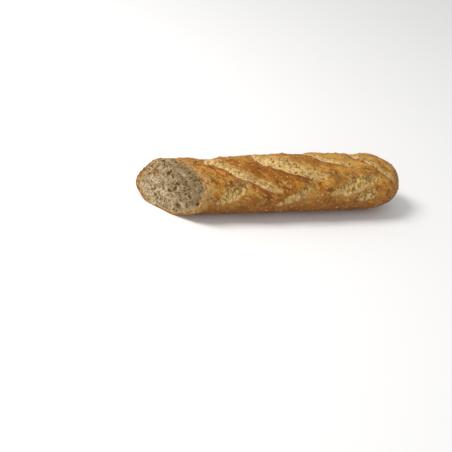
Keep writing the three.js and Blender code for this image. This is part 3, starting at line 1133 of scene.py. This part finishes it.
@dataclass
class Crumb:
    """The crumb: its porous face on the cut, and its plain body inside the crust."""

    form: LoafForm
    face_rings: int = 180
    body_rings: int = 14
    segments: int = 420
    overlap: float = 0.06 * MM
    crowds: tuple[Pores, ...] = (
        Pores(90, 1.3 * MM, 2.8 * MM, 0.6),
        Pores(1100, 0.6 * MM, 1.3 * MM, 0.6),
        Pores(3600, 0.28 * MM, 0.6 * MM, 0.4),
    )
    seed: int = 5
    size_power: float = 1.6
    pocket_angle: float = math.radians(-65)
    pocket_share: float = 0.75
    pocket_size: float = 4 * MM
    pocket_depth: float = 1.1 * MM
    pocket_range: Range = (0.2, 1.4)
    pocket_edge: Waves = Waves(2 * MM, 36, 0.2)
    face_power: float = 0.85
    # Painted shade across the cut face: darker towards the top and the near side, with random tone clouds.
    tone_middle: float = 0.36
    shade_above: float = 0.6
    shade_beyond: float = -0.7
    tone_most: float = 0.9
    clouds: Waves = Waves(9 * MM, 35, 0.14)
    wobble: tuple[Waves, ...] = (Waves(1.6 * MM, 37, 0.3 * MM), Waves(1.6 * MM, 38, 0.3 * MM))
    crowding: Waves = Waves(8 * MM, 34)
    crowding_draw: Range = (-1.5, 0.9)
    band_range: Range = (0.2 * MM, 2.4 * MM)
    band_edge: Waves = Waves(5 * MM, 31, 0.9 * MM)
    band_fill: float = 0.5
    # Depths over which painted shade fills a pore.
    pore_shade_range: Range = (0.1 * MM, 0.9 * MM)
    squeeze: Range = (0.5, 1.0)
    hollow: float = 0.3 * MM
    uneven: tuple[Waves, ...] = (Waves(8 * MM, 32, 0.3 * MM), Waves(1.7 * MM, 33, 0.16 * MM))
    closed_rim: float = 0.8 * MM
    flat_rim: float = 1.5 * MM

    def build(self) -> bpy.types.Object:
        """Builds and dresses the crumb.

        Returns:
            The crumb's piece.
        """
        form = self.form
        skin = Skin("crumb", self.face_rings + self.body_rings, self.segments)
        mesh, ring, turn = skin.grid()
        angle = math.pi * turn
        inset = form.thickness(angle) - self.overlap
        rim_x = form.cut_rim(angle, inset)
        rim = form.point(rim_x, angle, form.surface(rim_x, angle).lift, inset)
        share = np.clip(ring / self.face_rings, 0.0, 1.0) ** self.face_power
        face = form.cut_middle + (rim - form.cut_middle) * share[:, None]
        depth, pore_shade, band = self.pores(face, rim)
        pocket = np.argmin(np.abs(angle - self.pocket_angle) + np.abs(share - self.pocket_share))
        from_pocket = np.linalg.norm(face - face[pocket], axis=1) / self.pocket_size
        toasted = 1 - smooth_step(*self.pocket_range, from_pocket + self.pocket_edge.at(face))
        face += form.inward * (depth + self.pocket_depth * toasted**2)[:, None]
        along = np.clip((ring - self.face_rings) / self.body_rings, 0.0, 1.0) ** 2
        inset = inset + form.deeper(along)
        x = rim_x + (form.end_x - inset - rim_x) * along
        body = form.point(x, angle, form.surface(x, angle).lift, inset)
        spots = np.where((ring <= self.face_rings)[:, None], face, body)
        # Painted shade: darker towards the top and the near side of the cut face, plus random tone clouds.
        _, beyond, above = np.clip((spots - form.cut_middle) / form.half_width_cut, -1.0, 1.0).T
        shade_and_tone = self.tone_middle + self.shade_above * above + self.shade_beyond * beyond + self.clouds.at(spots)
        shade_and_tone = np.clip(shade_and_tone, 0.0, self.tone_most)
        piece = skin.finish(mesh, spots, {"pore_shade": pore_shade, "band": band, "shade_and_tone": shade_and_tone, "toasted": toasted})
        piece.data.materials.append(CrumbFinish().material())
        return piece

    def pores(self, face: Array, rim: Array) -> tuple[Array, Array, Array]:
        """Works out the pores of the cut face.

        Args:
            face: Places on the flat cut.
            rim: The face's rim in each place's direction.

        Returns:
            Depth below the flat cut, how far each place is in a pore, which sets the painted shade there, and
            how far in the dense band.
        """
        form = self.form
        draw = np.random.default_rng(self.seed)
        level = np.cross(form.inward, (0.0, 0.0, 1.0))
        level /= np.linalg.norm(level)
        upright = np.cross(level, form.inward)
        flat = (face - form.cut_middle) @ np.stack([level, upright], axis=-1)
        low, high = flat.min(axis=0), flat.max(axis=0)
        flat += np.stack([waves.at(face) for waves in self.wobble], axis=-1)
        from_rim = np.linalg.norm(rim - face, axis=1)
        band = 1 - smooth_step(*self.band_range, from_rim + self.band_edge.at(face))
        crowding = self.crowding.at(face)
        depth = np.zeros(len(face))
        for crowd in self.crowds:
            for _ in range(crowd.count):
                centre = draw.uniform(low, high)
                size = crowd.least + (crowd.most - crowd.least) * draw.uniform() ** self.size_power
                squeeze = draw.uniform(*self.squeeze)
                heading = draw.uniform(0.0, math.pi)
                near = np.flatnonzero(np.abs(flat - centre).max(axis=1) < size)
                if near.size == 0 or crowding[near[0]] < draw.uniform(*self.crowding_draw):
                    continue
                offset = flat[near] - centre
                long = offset @ np.array([math.cos(heading), math.sin(heading)])
                wide = offset @ np.array([-math.sin(heading), math.cos(heading)])
                bowl = 1 - (long / size) ** 2 - (wide / (size * squeeze)) ** 2
                depth[near] = np.maximum(depth[near], size * crowd.depth * np.sqrt(np.maximum(0.0, bowl)))
        depth *= (1 - self.band_fill * band) * smooth_step(0.0, self.closed_rim, from_rim)
        # Painted shade in the pores, by their depth.
        pore_shade = smooth_step(*self.pore_shade_range, depth)
        uneven = self.hollow + sum(waves.at(face) for waves in self.uneven)
        return depth + uneven * smooth_step(0.0, self.flat_rim, from_rim), pore_shade, band


class SeedKind(Enum):
    """The kinds of seed: half length, half width, half thickness, taper, and share of the larger seeds."""

    LINSEED = (2.3 * MM, 1.2 * MM, 0.8 * MM, 0.35, 0.5)
    SESAME = (1.8 * MM, 1.15 * MM, 0.75 * MM, 0.45, 0.36)
    SUNFLOWER = (3.5 * MM, 1.8 * MM, 1.2 * MM, 0.3, 0.14)

    @property
    def size(self) -> Vector:
        """Half length, half width and half thickness."""
        return Vector(self.value[:3])

    @property
    def taper(self) -> float:
        """How far it narrows to one end."""
        return self.value[3]

    @property
    def share(self) -> float:
        """Its share of the larger seeds."""
        return self.value[4]


@dataclass(frozen=True)
class SeedPlaces:
    """Where seeds lie: their numbers, places along and round the loaf, and their size."""

    number: Array
    x: Array
    angle: Array
    scale: Array


@dataclass
class SeedCoat:
    """The seeds baked onto the crust, one piece for each kind."""

    form: LoafForm
    large: int = 100
    strewn: int = 420
    in_tears: int = 150
    tried: int = 16000
    small_scale: float = 0.6
    angle_limit: float = math.radians(125)
    clear_of_ends: float = 5 * MM
    sink: float = 0.25
    linseed_share: float = 0.3
    linseed_in_tears: float = 0.75
    turn_draw: int = 3
    size_draw: int = 5
    kind_draw: int = 7
    keep_draw: int = 9
    along_step: float = 0.7548776662
    round_step: float = 0.5698402911
    least_scale: float = 0.85
    scale_range: float = 0.3
    plain_slash: float = 0.15
    burst_share: float = 0.12
    outward_share: float = 0.6
    pieces: list[bpy.types.Object] = field(default_factory=list)

    finishes = {
        SeedKind.LINSEED: (SeedFinish("linseed_skin", (156, 106, 44), (104, 68, 24), 0.5), "dark_seed"),
        SeedKind.SESAME: (SeedFinish("sesame_skin", (218, 176, 104), (184, 130, 56), 0.6), "pale_seed"),
        SeedKind.SUNFLOWER: (SeedFinish("kernel_skin", (190, 136, 62), (150, 94, 32), 0.6), "pale_seed"),
    }

    def build(self, crust: bpy.types.Object) -> list[bpy.types.Object]:
        """Builds and dresses the seeds.

        Args:
            crust: The piece that they lie on.

        Returns:
            One piece for each kind.
        """
        bed = BVHTree.FromObject(crust, bpy.context.evaluated_depsgraph_get())
        places = self.places()
        kinds = self.kinds(places)
        for kind in SeedKind:
            finish, slot = self.finishes[kind]
            mine = [i for i, own in enumerate(kinds) if own is kind]
            piece = self.piece(kind, places, mine, bed)
            piece.data.materials.append(finish.material())
            self.pieces.append(piece)
            LOG.info("%s: %d seeds", piece.name, len(mine))
        return self.pieces

    def places(self) -> SeedPlaces:
        """Spreads the seeds: the larger ones first, then small ones, then more in and by the torn places.

        Returns:
            Where they lie.
        """
        form = self.form
        number = np.arange(self.tried)
        x = form.length * ((number * self.along_step) % 1 - 0.5)
        angle = self.angle_limit * (2 * ((number * self.round_step) % 1) - 1)
        surface = form.surface(x, angle)
        from_cut = form.depth_from_cut(form.point(x, angle, surface.lift))
        fits = np.flatnonzero((from_cut > self.clear_of_ends) & (x < form.end_x - self.clear_of_ends))
        large, rest = fits[: self.large], fits[self.large :]
        strewn, rest = rest[: self.strewn], rest[self.strewn :]
        slashed = surface.torn * at_least(self.plain_slash, surface.toast) * (1 - surface.flank)
        wanted = np.maximum(slashed, surface.torn * surface.flank * self.burst_share)[rest]
        beside = rest[scatter(rest, self.keep_draw) < wanted][: self.in_tears]
        chosen = np.concatenate([large, strewn, beside])
        scale = self.least_scale + self.scale_range * scatter(chosen, self.size_draw)
        scale[self.large :] *= self.small_scale
        return SeedPlaces(chosen, x[chosen], angle[chosen], scale)

    def kinds(self, places: SeedPlaces) -> list[SeedKind]:
        """Which kind each seed is.

        Args:
            places: Where they lie.

        Returns:
            Their kinds. The small ones are linseed and sesame.
        """
        kinds = []
        for i, draw in enumerate(scatter(places.number, self.kind_draw)):
            if i >= self.large:
                dark_share = self.linseed_share if i < self.large + self.strewn else self.linseed_in_tears
                kinds.append(SeedKind.LINSEED if draw < dark_share else SeedKind.SESAME)
            elif draw < SeedKind.LINSEED.share:
                kinds.append(SeedKind.LINSEED)
            else:
                is_sesame = draw < SeedKind.LINSEED.share + SeedKind.SESAME.share
                kinds.append(SeedKind.SESAME if is_sesame else SeedKind.SUNFLOWER)
        return kinds

    def seat(self, bed: BVHTree, x: float, angle: float) -> tuple[Vector, Vector]:
        """Where the crust lies at x and an angle, and which way it faces there.

        Args:
            bed: The crust.
            x: Place along the loaf.
            angle: Angle round it.

        Returns:
            The place and the direction.
        """
        form = self.form
        outward = Vector((0.0, -math.sin(angle), math.cos(angle)))
        width = float(form.half_width(np.array([x]))[0])
        start = Vector((x, 0.0, form.axis_height * width)) + Vector(form.offset)
        spot, normal, _, _ = bed.ray_cast(start + outward * 2 * form.half_width_full, -outward)
        return spot, (normal + outward * self.outward_share).normalized()

    def piece(self, kind: SeedKind, places: SeedPlaces, mine: list[int], bed: BVHTree) -> bpy.types.Object:
        """Joins copies of one kernel into a piece.

        Args:
            kind: The kind of seed.
            places: Where all the seeds lie.
            mine: Which of them are of this kind.
            bed: The crust.

        Returns:
            The piece, linked to the scene.
        """
        kernel = self.kernel(kind)
        corners = np.array([vertex.co for vertex in kernel.vertices])
        faces = [tuple(face.vertices) for face in kernel.polygons]
        sides, caps = ([face for face in faces if len(face) == count] for count in (4, 3))
        turns = scatter(places.number, self.turn_draw) * math.pi
        spots = []
        for i in mine:
            spot, normal = self.seat(bed, float(places.x[i]), float(places.angle[i]))
            lie = Vector((0.0, 0.0, 1.0)).rotation_difference(normal)
            turned = lie @ Quaternion((0.0, 0.0, 1.0), turns[i])
            centre = spot - normal * self.sink * kind.size.z * places.scale[i]
            spots.append(corners * places.scale[i] @ np.array(turned.to_matrix()).T + np.array(centre))
        firsts = np.arange(len(mine))[:, None, None] * len(corners)
        joined = (firsts + sides).reshape(-1, 4).tolist() + (firsts + caps).reshape(-1, 3).tolist()
        mesh = bpy.data.meshes.new(kind.name.lower())
        mesh.from_pydata(np.concatenate(spots).tolist(), [], joined)
        mesh.shade_smooth()
        bpy.data.meshes.remove(kernel)
        return linked(f"{kind.name.lower()}_seeds", mesh)

    def kernel(self, kind: SeedKind) -> bpy.types.Mesh:
        """Makes one seed, lying flat, its pointed end along X.

        Args:
            kind: The kind of seed.

        Returns:
            Its mesh.
        """
        bm = bmesh.new()
        bmesh.ops.create_uvsphere(bm, u_segments=8, v_segments=6, radius=1.0)
        bmesh.ops.rotate(bm, verts=bm.verts, matrix=Matrix.Rotation(math.pi / 2, 3, "Y"))
        for vertex in bm.verts:
            narrowed = 1 - kind.taper * (0.5 + 0.5 * vertex.co.x)
            vertex.co.y *= narrowed
            vertex.co.z *= narrowed
        bmesh.ops.scale(bm, verts=bm.verts, vec=kind.size)
        bmesh.ops.recalc_face_normals(bm, faces=bm.faces)
        mesh = bpy.data.meshes.new("kernel")
        bm.to_mesh(mesh)
        bm.free()
        return mesh


@dataclass(frozen=True)
class Lamp:
    """A soft square light that looks at the loaf."""

    name: str
    place: Triple
    size: float
    power: float
    colour: Triple

    def build(self) -> None:
        """Hangs the light."""
        data = bpy.data.lights.new(self.name, "AREA")
        data.energy = self.power
        data.size = self.size
        data.color = self.colour
        lamp = linked(self.name, data)
        lamp.location = self.place
        lamp.rotation_euler = (-Vector(self.place)).to_track_quat("-Z", "Y").to_euler()


@dataclass
class Studio:
    """The pale floor, the soft lights and the camera."""

    azimuth: float = math.radians(28)
    elevation: float = math.radians(30)
    roll: float = math.radians(13.7)
    distance: float = 950 * MM
    lens: float = 75.0
    sensor: float = 36.0
    picture: float = 452.0
    aim: Triple = (0.3 * MM, 0.1 * MM, 23 * MM)
    aim_pixel: tuple[float, float] = (276.4, 185.5)
    floor_size: float = 8.0
    sky_strength: float = 0.52
    lamps: tuple[Lamp, ...] = (
        Lamp("key", (-0.8, 0.2, 1.1), 0.5, 13.0, (1.0, 0.985, 0.96)),
        Lamp("fill", (-0.5, -1.4, 0.8), 1.2, 2.2, (0.98, 0.99, 1.0)),
    )

    def build(self) -> None:
        """Sets up the whole studio."""
        self.floor()
        self.sky()
        for lamp in self.lamps:
            lamp.build()
        self.camera()

    def floor(self) -> None:
        """Lays the floor."""
        bm = bmesh.new()
        bmesh.ops.create_grid(bm, x_segments=2, y_segments=2, size=self.floor_size / 2)
        mesh = bpy.data.meshes.new("floor")
        bm.to_mesh(mesh)
        bm.free()
        draw = NodeSketch("pale_floor")
        shade = draw.mix(draw.noise(0.4), tint(250, 250, 250), tint(253, 253, 253))
        mesh.materials.append(draw.shade(Base_Color=shade, Roughness=0.8, Specular_IOR_Level=0.1))
        floor = linked("floor", mesh)

    def sky(self) -> None:
        """Surrounds the scene with even white light."""
        world = bpy.data.worlds.new("studio")
        world.use_nodes = True
        background = world.node_tree.nodes["Background"]
        background.inputs["Color"].default_value = (1.0, 1.0, 1.0, 1.0)
        background.inputs["Strength"].default_value = self.sky_strength
        bpy.context.scene.world = world
        bpy.context.scene.view_settings.view_transform = "Standard"

    def camera(self) -> None:
        """Places the camera, turned and aimed so that the loaf lies in the picture as photographed."""
        right = Vector((math.cos(self.azimuth), -math.sin(self.azimuth), 0.0))
        level = Vector((math.sin(self.azimuth), math.cos(self.azimuth), 0.0))
        ahead = level * math.cos(self.elevation) - Vector((0.0, 0.0, math.sin(self.elevation)))
        up = right.cross(ahead)
        turned_right = right * math.cos(self.roll) + up * math.sin(self.roll)
        turned_up = up * math.cos(self.roll) - right * math.sin(self.roll)
        facing = Matrix((turned_right, turned_up, -ahead)).transposed().to_quaternion()
        focal = self.lens / self.sensor * self.picture
        across = (self.aim_pixel[0] - self.picture / 2) / focal
        down = (self.aim_pixel[1] - self.picture / 2) / focal
        aside = Vector((0.0, 0.0, -1.0)).rotation_difference(Vector((across, -down, -1.0)))
        data = bpy.data.cameras.new("camera")
        data.lens = self.lens
        data.sensor_width = self.sensor
        camera = linked("camera", data)
        camera.location = Vector(self.aim) - ahead * self.distance
        camera.rotation_mode = "QUATERNION"
        camera.rotation_quaternion = facing @ aside.inverted()
        bpy.context.scene.camera = camera


def main() -> None:
    """Builds the loaf piece by piece, then the studio."""
    logging.basicConfig(level=logging.INFO, format="%(name)s %(message)s", stream=sys.stdout)
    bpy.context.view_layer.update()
    form = LoafForm()
    crust = Crust(form).build()
    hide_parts(NODE)
    crumb = Crumb(form).build()
    seeds = SeedCoat(form).build(crust)
    for piece in (crust, crumb, *seeds):
        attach(piece, BODY)
        LOG.info("%s: %d faces", piece.name, len(piece.data.polygons))
    Studio().build()


if __name__ == "__main__":
    main()
